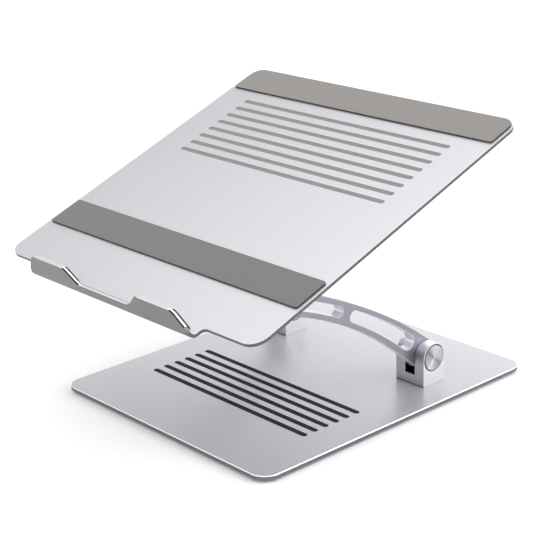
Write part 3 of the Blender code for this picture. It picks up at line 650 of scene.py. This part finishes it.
def lathe(name, profile, materials, count=64, closed=False):
    """A solid turned round Z from (radius, height, material of the strip below), from the top down."""
    shape = bmesh.new()
    rings = []
    for radius, height, _ in profile:
        if radius < TINY:
            rings.append([shape.verts.new((0, 0, height))])
            continue
        turns = [2 * math.pi * i / count for i in range(count)]
        ring = [(radius * math.cos(a), radius * math.sin(a), height) for a in turns]
        rings.append([shape.verts.new(place) for place in ring])
    pairs = list(zip(rings, rings[1:]))
    if closed:
        pairs.append((rings[-1], rings[0]))
    for (upper, lower), (_, _, material) in zip(pairs, profile):
        for i in range(count):
            after = (i + 1) % count
            if len(upper) == 1:
                corners = (upper[0], lower[i], lower[after])
            elif len(lower) == 1:
                corners = (upper[i], lower[0], upper[after])
            else:
                corners = (upper[i], lower[i], lower[after], upper[after])
            face = shape.faces.new(corners)
            face.material_index = material
            face.smooth = True
    bmesh.ops.recalc_face_normals(shape, faces=shape.faces)
    if shape.calc_volume(signed=True) < 0:
        bmesh.ops.reverse_faces(shape, faces=shape.faces)
    return finished(name, shape, materials)


def combine(name, mesh, others, operation):
    """One mesh joined with or cut by other meshes."""
    target = bpy.data.objects.new(name, mesh)
    bpy.context.scene.collection.objects.link(target)
    tools = []
    for other in others:
        tool = bpy.data.objects.new("tool", other)
        bpy.context.scene.collection.objects.link(tool)
        step = target.modifiers.new("step", "BOOLEAN")
        step.operation = operation
        step.solver = "EXACT"
        step.material_mode = "TRANSFER"
        step.object = tool
        tools.append(tool)
    bpy.context.view_layer.update()
    evaluated = target.evaluated_get(bpy.context.evaluated_depsgraph_get())
    result = bpy.data.meshes.new_from_object(evaluated)
    result.name = name
    for obj in [target, *tools]:
        bpy.data.objects.remove(obj, do_unlink=True)
    for polygon in result.polygons:
        polygon.use_smooth = True
    return result


def place(name, mesh, matrix, body, slot, nodes, own_axes=False):
    """Puts a copy of a mesh in its place, as a piece that rides on a body and stands for CAD nodes.

    The place goes into the mesh, except for a piece whose material turns round its own Z axis.
    """
    mesh = mesh.copy()
    mesh.name = name
    if not own_axes:
        mesh.transform(matrix)
    piece = bpy.data.objects.new(name, mesh)
    bpy.context.scene.collection.objects.link(piece)
    if own_axes:
        piece.matrix_world = matrix
    mesh.set_sharp_from_angle(angle=CREASE)
    even = piece.modifiers.new("even_shading", "WEIGHTED_NORMAL")
    even.keep_sharp = True
    even.weight = SHADING_WEIGHT
    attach(piece, body)
    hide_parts(*nodes)


def slot_filler(half_length, slot_width, plate_thick, material):
    """A strip with rounded upper edges that fills a slot a little below the face around it."""
    thick = plate_thick - INLAY_RECESS - GAP
    rows = wall(0, -thick, INLAY_ROUNDING, SAW_CUT)
    outline = strip(half_length - SEAT, slot_width - 2 * SEAT, 0)
    return slab("filler", (outline, rows), [], [material])


# ---------------------------------------------------------------- base

def vent_y(index):
    return -VENT_REAR - index * VENT_PITCH


def build_base():
    rows = wall(0, -BASE_THICK, (BASE_CHAMFER, 1), BASE_LOWER_EDGE, 1, 2)
    outline = rounded_rectangle(BASE_HALF_WIDTH, -BASE_HALF_DEPTH, BASE_HALF_DEPTH, BASE_CORNER)
    # the vent slots' walls get the painted recess shade
    slot_rows = wall(0, -BASE_THICK, (VENT_CHAMFER, 1), (VENT_LOWER_CHAMFER, 1), 3, 3)
    slots = [(strip(VENT_HALF_LENGTH, VENT_WIDTH, vent_y(i)), slot_rows) for i in range(VENT_COUNT)]
    mesh = slab("base_plate_blasted", (outline, rows), slots, [BASE, EDGE, BASE_SIDE_SHADE, RECESS_SHADE])
    place("base_plate_blasted", mesh, BASE_FRAME, "base", "aluminium", ["base_plate"])

    inlay = slot_filler(VENT_HALF_LENGTH, VENT_WIDTH, BASE_THICK, INLAY)
    for i in range(VENT_COUNT):
        matrix = BASE_FRAME @ Matrix.Translation((0, vent_y(i), -INLAY_RECESS))
        node = f"vent_inlay_{i + 1}"
        place(f"vent_strip_{i + 1}", inlay, matrix, "base", "black_silicone", [node])

    length, depth, thick = FOOT_SIZE
    rows = wall(0, -thick, SAW_CUT, FOOT_ROUNDING)
    outline = rounded_rectangle(length / 2, -depth / 2, depth / 2, depth * FOOT_END)
    foot = slab("foot", (outline, rows), [], [FOOT])
    for end, y_side in {"front": -1, "rear": 1}.items():
        for side, x_side in SIDES.items():
            spot = (x_side * FOOT_PLACE[0], y_side * FOOT_PLACE[1], -BASE_THICK - GAP)
            matrix = BASE_FRAME @ Matrix.Translation(spot)
            node = f"foot_{end}_{side}"
            place("rounded_" + node, foot, matrix, "base", "black_silicone", [node])


# ---------------------------------------------------------------- hinges

def bracket_outline():
    """The side view: a square foot under a round top about the pivot, with X to the back."""
    arc = arc_points((0, PIVOT_HEIGHT), BRACKET_ROUND, 0, math.pi, ROUND_TOP_STEP)
    return [(-BRACKET_ROUND, SEAT), (BRACKET_ROUND, SEAT), *arc]


def bracket_mesh():
    """Two ears, each with a recess for a cap round the pin's hole, joined by a foot."""
    bevel = BRACKET_BEVEL
    outline = bracket_outline()
    recess = circle_points((0, PIVOT_HEIGHT), RECESS_RADIUS, 72)
    outside, inside = BRACKET_WIDTH / 2, BRACKET_SLOT / 2
    floor = outside - RECESS_DEPTH
    narrow = SHAFT_HOLE - RECESS_RADIUS
    side_rows = wall(outside, inside, (bevel, 2), (bevel, 2), 0, 1)
    # the recess walls, the pin hole and each ear's inner face get the painted recess shade
    hole_rows = [
        (bevel, outside, 0),
        (0, outside - bevel, 2),
        (0, floor, 2),
        (narrow, floor, 2),
        (narrow, inside, 2),
    ]
    ear = slab("ear", (outline, side_rows), [(recess, hole_rows)], BRACKET_SET, base_cap=2)
    other = ear.copy()
    stand = frame_of((0, 1, 0), (0, 0, 1))
    ear.transform(stand)
    other.transform(Matrix.Rotation(math.pi, 4, "Z") @ stand)
    back = BRACKET_ROUND
    top = BRACKET_SLOT_FLOOR
    corners = [(-back, SEAT), (back, SEAT), (back, top - bevel), (back - bevel, top)]
    corners += [(bevel - back, top), (-back, top - bevel)]
    reach = inside + 2 * bevel
    rows = [(0, reach, 1), (0, -reach, 1)]
    foot = slab("foot_block", (corners, rows), [], BRACKET_SET)
    # painted shade: the floor of the slot between the ears gets the painted recess shade
    for polygon in foot.polygons:
        if polygon.normal.y > MOSTLY:
            polygon.material_index = BRACKET_SET.index(RECESS_SHADE)
    foot.transform(stand)
    return combine("hinge_bracket", ear, [other, foot], "UNION")


def cap_mesh():
    """A cap about local Z: a turned face with a bright bevelled rim, and a skirt behind it."""
    face = BRACKET_WIDTH / 2 + CAP_PROUD
    skirt_end = BRACKET_WIDTH / 2 - RECESS_DEPTH + GAP
    inner = CAP_RADIUS - CAP_SKIRT
    profile = [(CAP_RADIUS * share, face, 0) for share in CAP_CIRCLES]
    profile += [
        # the ring and the rolled rim get the painted shade
        (CAP_RADIUS - CAP_RING, face, 1),
        (CAP_RADIUS - CAP_ROLL[0][0], face - CAP_ROLL[0][1], 1),
        # from here the skirt gets the painted recess shade
        (CAP_RADIUS - CAP_ROLL[1][0], face - CAP_ROLL[1][1], 2),
        (CAP_RADIUS, skirt_end, 2),
        (inner, skirt_end, 2),
        (inner, face - CAP_DISC, 2),
        (0, face - CAP_DISC, 2),
    ]
    return lathe("spun_cap", profile, [SPUN, CAP_RIM_SHADE, RECESS_SHADE], 96)


def washer_mesh():
    radius, thick = WASHER
    top, edge = thick / 2, WASHER_EDGE
    profile = [
        (SHAFT_HOLE, top, 0),
        (radius - edge, top, 0),
        (radius, top - edge, 0),
        (radius, edge - top, 0),
        (radius - edge, -top, 0),
        (SHAFT_HOLE, -top, 0),
    ]
    return lathe("friction_washer", profile, [NYLON], 64, closed=True)


def screw_mesh(through):
    """A countersunk screw through a plate of this thickness, with a hexagon socket in its head."""
    end = through + SCREW_BITE
    profile = [
        (0, end, 0),
        (SCREW_SHANK * SCREW_TIP[0], end, 0),
        (SCREW_SHANK, end - SCREW_TIP[1], 0),
        (SCREW_SHANK, SCREW_CONE, 0),
        (SCREW_HEAD, SCREW_RIM[1], 0),
        (SCREW_HEAD - SCREW_RIM[0], 0, 0),
        (0, 0, 0),
    ]
    body = lathe("screw_body", profile, [STEEL], 48)
    radius, depth = SOCKET
    hexagon = circle_points((0, 0), radius, 6)
    socket = slab("socket", (hexagon, [(0, depth, 0), (0, -SOCKET_REACH, 0)]), [], [STEEL])
    return combine("socket_screw", body, [socket], "DIFFERENCE")


def build_hinges():
    bracket = bracket_mesh()
    cap = cap_mesh()
    washer = washer_mesh()
    low = BASE_FRAME @ Matrix.Translation((0, LOWER_PIVOT_REAR, 0))
    high = PIN_FRAME @ Matrix.Translation((0, 0, PIVOT_HEIGHT)) @ TURN_OVER
    pivot_low = low @ Matrix.Translation((0, 0, PIVOT_HEIGHT))
    pairs = {
        "lower": (low, pivot_low, "base", BASE_THICK),
        "upper": (high, PIN_FRAME, "tray", TRAY_THICK),
    }
    for level, (feet, pivot, body, through) in pairs.items():
        screw = screw_mesh(through)
        for side, sign in SIDES.items():
            over = Matrix.Translation((sign * BRACKET_X, 0, 0))
            node = f"{level}_bracket_{side}"
            place("fine_" + node, bracket, feet @ over, body, "aluminium", [node], own_axes=True)
            for where, way in {"outer": sign, "inner": -sign}.items():
                axes = over @ frame_of((0, way, 0), (0, 0, 1))
                node = f"{level}_cap_{side}_{where}"
                place("fine_" + node, cap, pivot @ axes, body, "spun", [node], own_axes=True)
                offset = BRACKET_SLOT / 2 - WASHER_GAP - WASHER[1] / 2
                seat = axes @ Matrix.Translation((0, 0, offset))
                node = f"{level}_washer_{side}_{where}"
                place("fine_" + node, washer, pivot @ seat, body, "nylon", [node])
                head = Matrix.Translation((way * SCREW_OFFSET, 0, SCREW_SINK - through))
                node = f"{level}_screw_{side}_{where}"
                matrix = feet @ over @ head
                place("fine_" + node, screw, matrix, body, "steel", [node])


# ---------------------------------------------------------------- arms

def arch(fraction):
    """The point of the arm's centre line at this fraction of the span, and the direction across it."""
    radius = ARM_SPAN**2 / (8 * ARM_ARCH) + ARM_ARCH / 2
    along = fraction * ARM_SPAN
    from_middle = along - ARM_SPAN / 2
    height = math.sqrt(radius**2 - from_middle**2) - (radius - ARM_ARCH)
    across = Vector((from_middle, height + radius - ARM_ARCH)).normalized()
    return Vector((along, height)), across


def half_width(fraction):
    if fraction < ARM_NARROWEST:
        away = 1 - fraction / ARM_NARROWEST
        return ARM_MIDDLE_HALF + (ARM_LOWER_HALF - ARM_MIDDLE_HALF) * away**ARM_LOWER_TAPER
    away = (fraction - ARM_NARROWEST) / (1 - ARM_NARROWEST)
    return ARM_MIDDLE_HALF + (ARM_UPPER_HALF - ARM_MIDDLE_HALF) * away**ARM_UPPER_TAPER


def arm_edge(fraction, side, rail=0.0):
    point, across = arch(fraction)
    return tuple(point + across * side * (half_width(fraction) - rail))


def fractions(start, end, count):
    return [start + (end - start) * i / count for i in range(count + 1)]


def round_end(fraction, radius, side):
    """A half circle, clockwise from one edge of the arm (side 1 is the upper one, -1 the lower)."""
    point, across = arch(fraction)
    start = math.atan2(side * across.y, side * across.x)
    return arc_points(point, radius, start, start - math.pi)[1:-1]


def arm_outline():
    along = fractions(0, 1, ARM_STATIONS)
    upper = [arm_edge(f, 1) for f in along]
    lower = [arm_edge(f, -1) for f in reversed(along)]
    far_end = round_end(1, ARM_UPPER_HALF, 1)
    near_end = round_end(0, ARM_LOWER_HALF, -1)
    return upper + far_end + lower + near_end


def window_outline(start, end):
    shift = (ARM_LOW_RAIL - ARM_TOP_RAIL) / 2
    rail = (ARM_LOW_RAIL + ARM_TOP_RAIL) / 2
    first = start + (half_width(start) - rail) / ARM_SPAN
    last = end - (half_width(end) - rail) / ARM_SPAN
    inner = fractions(first, last, ARM_STATIONS // 3)
    upper = [arm_edge(f, 1, rail) for f in inner]
    lower = [arm_edge(f, -1, rail) for f in reversed(inner)]
    far_end = round_end(last, half_width(last) - rail, 1)
    near_end = round_end(first, half_width(first) - rail, -1)
    return [(x, y + shift) for x, y in upper + far_end + lower + near_end]


def build_arms():
    half = ARM_THICK / 2
    rows = wall(half, -half, ARM_ROUNDING, ARM_ROUNDING)
    # painted light: the windows' walls get the lighter copy of the aluminium
    window_rows = wall(half, -half, WINDOW_ROUNDING, WINDOW_ROUNDING, 0, 1)
    hole_rows = [(0, half, 0), (0, -half, 0)]
    holes = [(window_outline(start, end), window_rows) for start, end in ARM_WINDOWS]
    holes += [(circle_points((x, 0), SHAFT_HOLE, 48), hole_rows) for x in (0, ARM_SPAN)]
    mesh = slab("arched_arm", (arm_outline(), rows), holes, [ARM, WINDOW_LIT, ARM_UNDER_LIT])
    # painted highlight: faces along the arm's lower edge get the lighter copy of its aluminium
    for polygon in mesh.polygons:
        if polygon.normal.y < -MOSTLY and polygon.material_index == 0:
            polygon.material_index = 2
    direction = (UPPER_PIVOT - LOWER_PIVOT).normalized()
    upward = Vector((0, direction.z, -direction.y))
    for side, sign in SIDES.items():
        matrix = frame_of(direction, upward, LOWER_PIVOT + Vector((sign * BRACKET_X, 0, 0)))
        place(f"arched_arm_{side}", mesh, matrix, "arms", "aluminium", [f"arm_{side}"])


# ---------------------------------------------------------------- tray

def unbent(height):
    return FLANGE_FLAT + BEND_RADIUS * math.pi / 2 + height - BEND_RADIUS


def bend(y, z):
    """Where a point of the flat sheet goes when the flange is bent up; z is 0 on the top face."""
    bend_start = -FLANGE_FLAT
    angle = min((bend_start - y) / BEND_RADIUS, math.pi / 2)
    if angle <= 0:
        return y, z
    beyond = max(bend_start - BEND_RADIUS * math.pi / 2 - y, 0.0)
    reach = BEND_RADIUS - z
    along = bend_start - reach * math.sin(angle)
    height = BEND_RADIUS - reach * math.cos(angle) + beyond
    return along, height


def sheet_outline():
    """The flat sheet: Y 0 is the tray's front edge, and the hooks lie in front of it."""
    right = [
        (LOW_HALF, -unbent(LOW_TOP), LOW_RADIUS),
        (TAB_INNER, -unbent(TAB_TOP), TAB_INNER_RADIUS),
        (TAB_OUTER, -unbent(TAB_TOP), TAB_OUTER_RADIUS),
        (FLANGE_HALF, -unbent(TAB_SHOULDER), SHOULDER_RADIUS),
        (FLANGE_HALF, 0, FLANGE_FILLET),
        (TRAY_HALF_WIDTH, 0, TRAY_CORNER),
        (TRAY_HALF_WIDTH, TRAY_DEPTH, TRAY_CORNER),
    ]
    left = [(-x, y, radius) for x, y, radius in reversed(right)]
    return rounded_outline(right + left)


def slot_y(index):
    return SLOT_FIRST + index * SLOT_PITCH


def tray_rows(inner, outer):
    """The side of the sheet, with two strips of it marked by the numbers inner and outer."""
    rows = wall(0, -TRAY_THICK, (TRAY_CHAMFER, 1), (TRAY_LOWER_CHAMFER, 1), 0, 1)
    rows[1:2] = [(0, -TRAY_CHAMFER, inner), (0, -LIP_LINE, 1), (0, -TRAY_THICK * HOOK_CUT, outer)]
    return rows


def hook_material(middle, facing, row, inner, outer):
    """The material of a face of the flat sheet by its place, direction and strip, or None as it is:
    painted shade lines, shaded and lit copies of the aluminium, or the bright cut.
    """
    beyond = middle.y < -FLANGE_FLAT - BEND_RADIUS * math.pi / 2
    sloping = abs(facing.x) > HOOK_SLOPING
    outside = abs(middle.x) > (TAB_INNER + TAB_OUTER) / 2
    cut = sloping and middle.y < -unbent(HOOK_CUT_END if outside else LOW_TOP)
    if beyond and row == inner and abs(middle.x) < LOW_HALF:
        return HOOK_SHADE_LINE
    if cut and (row == outer or -FLAT_ON < facing.z < -ON_EDGE):
        return HOOK_SHADE_LINE
    if beyond and abs(facing.z) < ON_EDGE:
        if cut:
            return HOOK_EDGE
        return HOOK_FACE_SHADE if sloping else HOOK_TOP_LIT
    if middle.y < -FLANGE_FLAT and facing.z < -FLAT_ON:
        return HOOK_FACE_SHADE
    if row in (inner, outer) or beyond and row == 0 and facing.z < FLAT_ON:
        return TRAY_SIDE_SHADE
    return None


def build_tray():
    materials = [TOP, TRAY_SIDE_SHADE, HOOK_FACE_SHADE, HOOK_EDGE, HOOK_TOP_LIT, SLOT_WALL_SHADE, HOOK_SHADE_LINE]
    inner, outer = len(materials), len(materials) + 1  # marks only, replaced further down
    rows = tray_rows(inner, outer)
    slot_rows = wall(0, -TRAY_THICK, (TRAY_CHAMFER, 1), (TRAY_CHAMFER, 1), 0, 5)
    slots = [(strip(SLOT_HALF_LENGTH, SLOT_WIDTH, slot_y(i)), slot_rows) for i in range(SLOT_COUNT)]
    mesh = slab("bent_tray", (sheet_outline(), rows), slots, materials)
    shape = bmesh.new()
    shape.from_mesh(mesh)
    facet = BEND_RADIUS * math.pi / 2 / BEND_FACETS
    cuts = [-FLANGE_FLAT - i * facet for i in range(BEND_FACETS + 1)] + [-unbent(HOOK_CUT_END)]
    for y in cuts:
        everything = shape.verts[:] + shape.edges[:] + shape.faces[:]
        line = (0, y, 0)
        bmesh.ops.bisect_plane(shape, geom=everything, plane_co=line, plane_no=(0, 1, 0), dist=TINY)
    for face in shape.faces:
        middle = face.calc_center_median()
        material = hook_material(middle, face.normal, face.material_index, inner, outer)
        if material:
            face.material_index = materials.index(material)
    for vert in shape.verts:
        vert.co.y, vert.co.z = bend(vert.co.y, vert.co.z)
    bmesh.ops.triangulate(shape, faces=shape.faces)
    shape.to_mesh(mesh)
    shape.free()
    place("bent_tray", mesh, TRAY_FRAME, "tray", "aluminium", ["tray_plate"])


def build_tray_strips():
    strip_mesh = slot_filler(SLOT_HALF_LENGTH, SLOT_WIDTH, TRAY_THICK, STRIP)
    for i in range(SLOT_COUNT):
        matrix = TRAY_FRAME @ Matrix.Translation((0, slot_y(i), -INLAY_RECESS))
        node = f"tray_inlay_{i + 1}"
        place(f"tray_strip_{i + 1}", strip_mesh, matrix, "tray", "grey_silicone", [node])


def build_pads():
    front = rounded_rectangle(PAD_HALF, FRONT_PAD_START, FRONT_PAD_START + PAD_DEPTH, PAD_CORNER)
    rear_end = REAR_PAD_START + PAD_DEPTH
    rear = rounded_rectangle(PAD_HALF, REAR_PAD_START, rear_end, PAD_CORNER, REAR_PAD_CORNER)
    rows = wall(PAD_THICK, 0, PAD_ROUNDING, PAD_LOWER_CHAMFER, 0, 1)
    matrix = TRAY_FRAME @ Matrix.Translation((0, 0, GAP))
    for name, outline, material in (("front", front, FRONT_PAD), ("rear", rear, REAR_PAD)):
        mesh = slab("pad", (outline, rows), [], [material, PAD_EDGE_SHADE])
        place(f"{name}_silicone_pad", mesh, matrix, "tray", "grey_silicone", [f"{name}_pad"])


def liner_outline(sign):
    """The lining of one hook, seen from the back: X across the stand and Y up the hook."""
    slope = (TAB_INNER - LOW_HALF) / (TAB_TOP - LOW_TOP)
    lean = (FLANGE_HALF - TAB_OUTER) / (TAB_TOP - TAB_SHOULDER)
    low = BEND_RADIUS + LINER_INSET
    high = TAB_TOP - LINER_INSET
    inner_low = LOW_HALF + LINER_LOW_INSET
    inner_high = TAB_INNER - slope * LINER_INSET + LINER_SIDE_INSET
    outer_low = FLANGE_HALF - LINER_SIDE_INSET
    outer_high = TAB_OUTER + lean * LINER_INSET - LINER_SIDE_INSET
    foot, shoulder, outer, inner, lip = LINER_RADII
    corners = [
        (sign * inner_low, low, foot),
        (sign * outer_low, low, foot),
        (sign * outer_low, TAB_SHOULDER + LINER_INSET, shoulder),
        (sign * outer_high, high, outer),
        (sign * inner_high, high, inner),
        (sign * inner_low, LOW_TOP, lip),
    ]
    return rounded_outline(corners)


def build_liners():
    depth = -(FLANGE_FLAT + BEND_RADIUS) + GAP + LINER_THICK / 2
    half = LINER_THICK / 2
    rows = [
        (LINER_EDGE, half, 0),
        (0, half - LINER_EDGE, 0),
        (0, half * LINER_DARK_FROM, 1),
        (0, LINER_EDGE - half, 1),
        (LINER_EDGE, -half, 0),
    ]
    for side, sign in SIDES.items():
        mesh = slab("liner", (liner_outline(sign), rows), [], [LINER, LINER_SHADE_LINE])
        # only the sloping sides keep the painted shade line; the rest is plain liner
        for polygon in mesh.polygons:
            if abs(polygon.normal.x) < LINER_SLOPING:
                polygon.material_index = 0
        matrix = TRAY_FRAME @ frame_of((1, 0, 0), (0, 0, 1), (0, depth, 0))
        node = f"hook_liner_{side}"
        place(f"soft_liner_{side}", mesh, matrix, "tray", "grey_silicone", [node])


# ---------------------------------------------------------------- what stays of the CAD model

def dress_cad_nodes():
    """The hinge pins inside the caps keep their CAD shape and get plain steel."""
    for name, node in frame["nodes"].items():
        if "shaft" in name:
            for slot in node.material_slots:
                slot.material = STEEL


# ---------------------------------------------------------------- studio

def build_floor():
    material, tree, shader = new_material("studio_floor")
    cloud = noise(tree, scale=3, detail=2, roughness=0.5)
    tree.links.new(between(tree, cloud, *FLOOR_WHITES), shader.inputs["Base Color"])
    shader.inputs["Roughness"].default_value = 0.9
    shader.inputs["Specular IOR Level"].default_value = 0.1
    mesh = bpy.data.meshes.new("floor")
    corners = [(x * FLOOR_HALF, y * FLOOR_HALF, 0) for x, y in ((-1, -1), (1, -1), (1, 1), (-1, 1))]
    mesh.from_pydata(corners, [], [(0, 1, 2, 3)])
    mesh.materials.append(material)
    floor = bpy.data.objects.new("floor", mesh)
    bpy.context.scene.collection.objects.link(floor)


def build_world():
    """A white room, darkest on the far left and even at its horizon."""
    world = bpy.data.worlds.new("studio")
    bpy.context.scene.world = world
    world.use_nodes = True
    tree = world.node_tree
    background = tree.nodes["Background"]
    place = tree.nodes.new("ShaderNodeTexCoord").outputs["Generated"]
    split = tree.nodes.new("ShaderNodeSeparateXYZ")
    tree.links.new(place, split.inputs[0])
    height = split.outputs["Z"]
    across = calculate(tree, "MULTIPLY_ADD", split.outputs["X"], 0.5, 0.5)
    upward = ramp(tree, height, ROOM_UPWARD)
    sideways = ramp(tree, across, ROOM_SIDEWAYS)
    above = ramp(tree, height, ABOVE_HORIZON)
    room = calculate(tree, "MULTIPLY", upward, sideways)
    change = calculate(tree, "SUBTRACT", room, HORIZON)
    shade = calculate(tree, "MULTIPLY_ADD", change, above, HORIZON)
    tree.links.new(shade, background.inputs["Color"])
    background.inputs["Strength"].default_value = ROOM_STRENGTH


def soft_light(name, location, target, size, power):
    data = bpy.data.lights.new(name, "AREA")
    data.shape = "RECTANGLE"
    data.size, data.size_y = size
    data.energy = power
    light = bpy.data.objects.new(name, data)
    bpy.context.scene.collection.objects.link(light)
    light.location = location
    toward = Vector(target) - Vector(location)
    light.rotation_euler = toward.to_track_quat("-Z", "Y").to_euler()
    light.visible_camera = False


def build_camera():
    data = bpy.data.cameras.new("camera")
    data.sensor_width = CAMERA_SENSOR
    data.lens = CAMERA_LENS
    camera = bpy.data.objects.new("camera", data)
    bpy.context.scene.collection.objects.link(camera)
    level = math.cos(CAMERA_ELEVATION)
    back = Vector((
        math.sin(CAMERA_AZIMUTH) * level,
        -math.cos(CAMERA_AZIMUTH) * level,
        math.sin(CAMERA_ELEVATION),
    ))
    right = (-back).cross(Vector((0, 0, 1))).normalized()
    up = right.cross(-back)
    cosine, sine = math.cos(CAMERA_ROLL), math.sin(CAMERA_ROLL)
    rolled = cosine * right + sine * up
    camera.matrix_world = frame_of(rolled, cosine * up - sine * right, CAMERA_PLACE)
    bpy.context.scene.camera = camera


def main():
    build_base()
    build_hinges()
    build_arms()
    build_tray()
    build_tray_strips()
    build_pads()
    build_liners()
    dress_cad_nodes()
    build_floor()
    build_world()
    soft_light("overhead", (0.3, 0.6, 2.5), target=(0, 0, 0.05), size=(3.4, 3.0), power=6)
    soft_light("right_rear", (0.95, 0.70, 0.75), target=(0.05, 0.08, 0.0), size=(1.1, 1.1), power=5)
    build_camera()
    bpy.context.scene.view_settings.view_transform = "Standard"


main()
